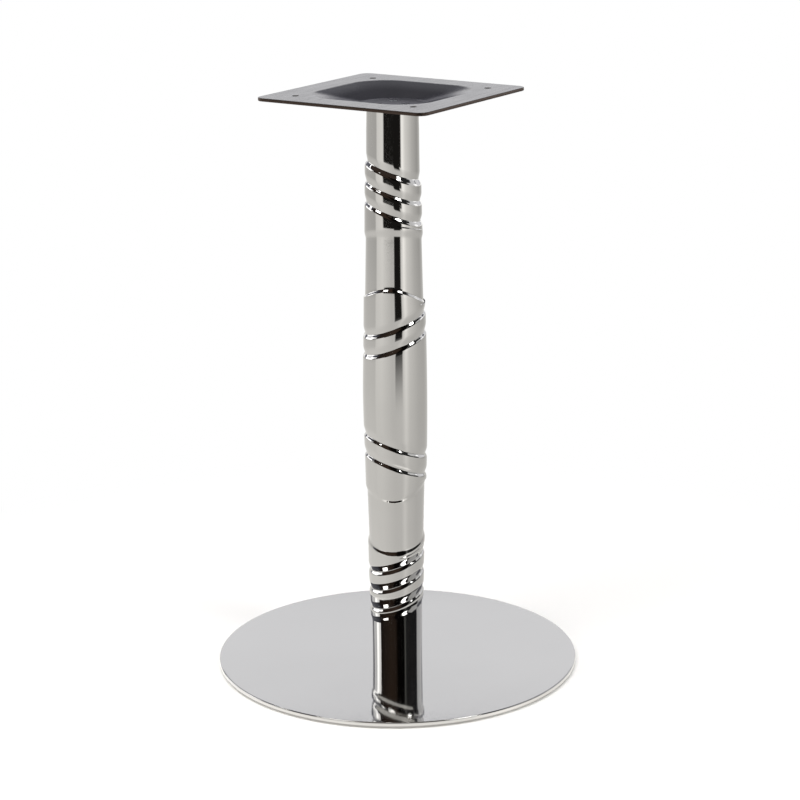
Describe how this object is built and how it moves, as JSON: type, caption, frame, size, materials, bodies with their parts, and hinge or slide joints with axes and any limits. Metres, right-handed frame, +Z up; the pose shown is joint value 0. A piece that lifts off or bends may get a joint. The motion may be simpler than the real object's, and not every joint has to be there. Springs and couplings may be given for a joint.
{
  "type": "pedestal table base",
  "caption": "Pedestal table base with a polished round foot, a swelling column crossed by leaned ring grooves, and a square dished plate that carries a table top.",
  "frame": {"origin": "on the floor, under the centre of the column", "axes": "+Z up along the column; X and Y along the sides of the square plate"},
  "size_m": [0.45, 0.45, 0.72],
  "materials": {
    "polished_steel": "mirror polished stainless steel",
    "pressed_steel": "satin pressed sheet",
    "plain_steel": "zinc plated",
    "glide_rubber": "matt"
  },
  "bodies": {
    "root": {"floor_disc": "polished_steel", "column": "polished_steel", "top_plate": "pressed_steel", "head_plug": "plain_steel", "foot_spigot": "plain_steel", "plug_screws": "plain_steel", "spigot_screws": "plain_steel", "floor_glides": "glide_rubber"}
  },
  "joints": []
}
